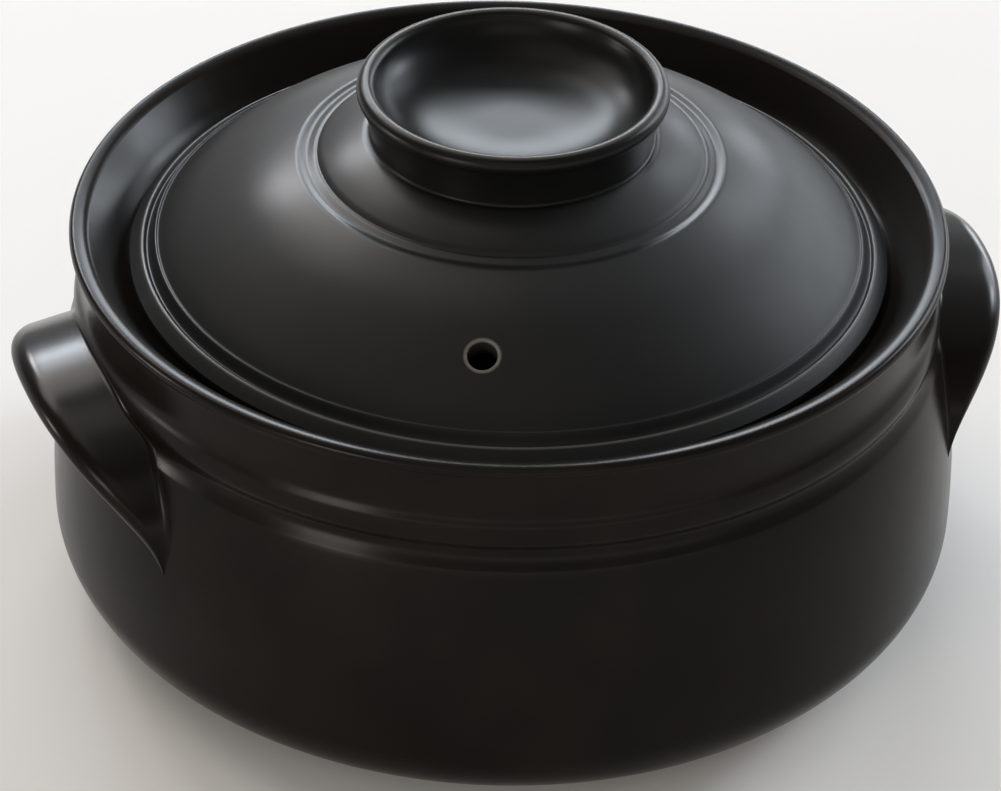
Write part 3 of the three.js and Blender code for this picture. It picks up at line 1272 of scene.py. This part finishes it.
@dataclass
class LidKnob:
    """The knob: a shallow dish with a rolled lip over a wall that tapers down to the foot."""

    lid: LidDome
    foot_radius: float = 35.0
    foot_cove: float = 0.9
    overhang: float = 3.5
    height: float = 14.46
    lip_round: float = 2.3
    lip_from: float = -60.0
    lip_to: float = 150.0
    hollow: float = 0.8
    dish_floor: float = 3.0
    dish_flat: float = 7.0
    dish_bend: float = 21.0
    base_gap: float = 0.02
    thin_reach: float = 1.3
    turns: int = 176

    @property
    def top(self) -> float:
        """Level of the lip's crest."""
        return self.lid.crown_level + self.lid.seat_gap + self.height

    @property
    def lip_radius(self) -> float:
        """Radius of the lip's crest."""
        return self.foot_radius + self.overhang - self.lip_round

    def profile(self) -> Profile:
        """The whole outline from the middle of the foot to the middle of the dish."""
        base = self.lid.crown_level + self.base_gap
        rounding = (self.lip_round, self.lip_round)
        middle = (self.lip_radius, self.top - self.lip_round)
        lip = arc(middle, rounding, self.lip_from, self.lip_to, steps=30)
        foot = (self.foot_radius, base)
        waist = ((foot[0] + lip[0][0]) / 2 - self.hollow, (foot[1] + lip[0][1]) / 2)
        wall = bend((foot, waist, lip[0]), steps=20)
        cove = bend(((foot[0] + self.foot_cove, base), foot, wall[2]), steps=8)
        floor = self.top - self.height + self.dish_floor
        leave = (lip[-1][0] - self.lip_round, floor + self.lip_round)
        dish = bend((lip[-1], leave, (self.dish_bend, floor), (self.dish_flat, floor)), steps=36)
        return [(0.0, base)] + cove + wall[3:-1] + lip + dish[1:] + [(0.0, floor)]

    def build(self, lathe: Lathe, glaze: Glaze) -> bpy.types.Object:
        """Turns the knob and dresses it.

        Args:
            lathe: The tree that turns profiles.
            glaze: The lid's glaze.

        Returns:
            The piece.
        """
        thin_at = ThinPlaces(self.lip_radius, self.top, self.thin_reach)
        mesh = lathe.turn(self.profile(), self.turns, glaze.material(thin_at))
        return place_piece("lid_knob_glazed", mesh, "lid_knob", Body.LID)


@dataclass(frozen=True)
class Lamp:
    """A soft rectangular lamp aimed at the pot, placed by angles from the camera's heading, in metres."""

    name: str
    heading: float
    elevation: float
    spread: tuple[float, float]
    glow: float
    colour: Colour = COOL_LIGHT
    distance: float = 6.0
    aim_level: float = 0.09

    def build(self, forward: float) -> bpy.types.Object:
        """Hangs the lamp.

        Args:
            forward: The camera's heading, in degrees from +Y towards +X.

        Returns:
            The lamp.
        """
        data = bpy.data.lights.new(self.name, "AREA")
        data.shape = "RECTANGLE"
        data.size, data.size_y = (2 * self.distance * math.tan(math.radians(a / 2)) for a in self.spread)
        data.energy = WATTS_PER_GLOW * data.size * data.size_y * self.glow
        data.color = self.colour
        turn = math.radians(forward + self.heading)
        tilt = math.radians(self.elevation)
        away = Vector((math.sin(turn) * math.cos(tilt), math.cos(turn) * math.cos(tilt), math.sin(tilt)))
        lamp = bpy.data.objects.new(self.name, data)
        lamp.location = away * self.distance + Vector((0.0, 0.0, self.aim_level))
        lamp.rotation_mode = "QUATERNION"
        lamp.rotation_quaternion = away.to_track_quat("Z", "Y")
        lamp.visible_camera = False
        bpy.context.scene.collection.objects.link(lamp)
        log.info("lamp %s", self.name)
        return lamp


@dataclass
class Studio:
    """Pale floor in metres, soft lamps, a sky that darkens upwards, and the camera in millimetres."""

    floor_radius: float = 14.0
    floor_sides: int = 96
    floor_roughness: float = 0.9
    floor_gloss: float = 0.1
    floor_colour: Colour = (0.94, 0.915, 0.888)
    horizon: float = 0.38
    zenith: float = 0.2
    fade: float = 0.55
    near_clip: float = 0.05
    lens_pixels: float = 3600.0
    heading: float = 16.8
    stand_off: float = 765.71
    eye_level: float = 584.37
    yaw: float = -0.050066
    pitch: float = 35.0355
    roll: float = -1.6
    slide_pixels: float = 1.5
    lamps: tuple[Lamp, ...] = (
        Lamp("right_window", 45.0, 27.0, (26.0, 22.0), 3.2),
        Lamp("low_window", 41.0, 9.0, (44.0, 10.0), 5.5),
        Lamp("back_window", -2.0, 25.0, (24.0, 10.0), 8.5),
        Lamp("back_left", -20.0, 32.0, (8.0, 6.0), 17.0),
        Lamp("far_right", 60.0, 24.0, (14.0, 14.0), 12.0),
        Lamp("side_window", -33.0, 30.0, (9.0, 8.0), 14.5, PALE_LIGHT),
        Lamp("left_window", -45.0, 45.0, (38.0, 22.0), 2.0, WARM_LIGHT),
        Lamp("left_top", -85.0, 74.0, (40.0, 30.0), 0.5, WARM_LIGHT),
        Lamp("left_low", -90.0, 3.5, (8.0, 7.0), 30.0, WARM_LIGHT),
        Lamp("front_left", -140.0, 9.0, (16.0, 14.0), 8.0, WARM_LIGHT),
        Lamp("front_low", 180.0, 5.0, (110.0, 8.0), 1.5, WARM_LIGHT),
        Lamp("front_fill", 180.0, 40.0, (40.0, 30.0), 0.7, WARM_LIGHT),
    )

    def build(self) -> None:
        """Sets up floor, sky, lamps and camera."""
        self.lay_floor()
        self.light_sky()
        for lamp in self.lamps:
            lamp.build(self.heading)
        self.set_camera()
        bpy.context.scene.view_settings.view_transform = "Standard"

    def lay_floor(self) -> None:
        """Makes the floor."""
        mesh = bpy.data.meshes.new("floor")
        around = range(self.floor_sides)
        ring = [2 * math.pi * i / self.floor_sides for i in around]
        spots = [(self.floor_radius * math.cos(t), self.floor_radius * math.sin(t), 0.0) for t in ring]
        mesh.from_pydata(spots, [], [tuple(around)])
        floor = bpy.data.objects.new("floor", mesh)
        bpy.context.scene.collection.objects.link(floor)
        material = bpy.data.materials.new("floor")
        material.use_nodes = True
        shader = material.node_tree.nodes["Principled BSDF"]
        shader.inputs["Base Color"].default_value = opaque(self.floor_colour)
        shader.inputs["Roughness"].default_value = self.floor_roughness
        shader.inputs["Specular IOR Level"].default_value = self.floor_gloss
        mesh.materials.append(material)

    def light_sky(self) -> None:
        """Makes a plain sky, bright at the horizon and dim overhead."""
        world = bpy.data.worlds.new("sky")
        world.use_nodes = True
        world.node_tree.nodes.clear()
        graph = Graph(world.node_tree)
        way = graph.add("ShaderNodeTexCoord", {}, {}, "Generated")
        split = graph.node("ShaderNodeSeparateXYZ", {}, {"Vector": way})
        height = Value(graph, split.outputs["Z"]).band(0.0, self.fade)
        low, high = (self.horizon,) * 3, (self.zenith,) * 3
        tone = graph.mix(height, opaque(low), opaque(high))
        glow = graph.add("ShaderNodeBackground", {}, {"Color": tone, "Strength": 1.0}, "Background")
        graph.node("ShaderNodeOutputWorld", {}, {"Surface": glow})
        bpy.context.scene.world = world

    def set_camera(self) -> None:
        """Sets the camera at the photograph's viewing angle."""
        yaw, pitch, roll = (math.radians(a) for a in (self.yaw, self.pitch, self.roll))
        ahead = Vector(
            (math.sin(yaw) * math.cos(pitch), math.cos(yaw) * math.cos(pitch), -math.sin(pitch))
        )
        level = Vector((math.cos(yaw), -math.sin(yaw), 0.0))
        below = ahead.cross(level)
        right = level * math.cos(roll) + below * math.sin(roll)
        down = below * math.cos(roll) - level * math.sin(roll)
        axes = Matrix((right, -down, -ahead)).transposed().to_4x4()
        spot = Matrix.Translation(Vector((0.0, -self.stand_off, self.eye_level)) * MM)
        data = bpy.data.cameras.new("camera")
        data.sensor_width = SENSOR_WIDTH
        data.lens = self.lens_pixels / IMAGE_WIDTH * SENSOR_WIDTH
        data.shift_x = -self.slide_pixels / IMAGE_WIDTH
        data.clip_start = self.near_clip
        camera = bpy.data.objects.new("camera", data)
        camera.matrix_world = Matrix.Rotation(math.radians(-self.heading), 4, "Z") @ spot @ axes
        bpy.context.scene.collection.objects.link(camera)
        bpy.context.scene.camera = camera


def main() -> None:
    """Builds the pot, its lid and the studio."""
    logging.basicConfig(level=logging.INFO, format="%(name)s %(message)s")
    body_glaze = Glaze(
        "body_glaze", (0.0053, 0.0042, 0.0033), (0.0078, 0.0058, 0.0043), (0.018, 0.015, 0.0125),
        roughness=0.24, gloss=0.09, pool=0.6, pool_roughness=0.22, pool_slope=(0.7, 0.95),
    )
    lid_glaze = Glaze(
        "lid_glaze", (0.0045, 0.0044, 0.0043), (0.0065, 0.0062, 0.006), (0.12, 0.112, 0.098),
        roughness=0.52, gloss=0.26, pool=0.65, pool_roughness=0.27, pool_slope=(0.86, 0.97),
    )
    lathe = Lathe()
    pot = PotBody()
    lid = LidDome(pot)
    dressing = body_glaze.material(pot.thin_places())
    pot.build(lathe, dressing)
    for side in Side:
        HoodedHandle(pot, side).build(dressing)
    lid.build(lathe, lid_glaze)
    knob_glaze = replace(lid_glaze, roughness=0.32, gloss=0.14, pool=0.34, pool_slope=(0.93, 0.995))
    LidKnob(lid).build(lathe, knob_glaze)
    Studio().build()


if __name__ == "__main__":
    main()
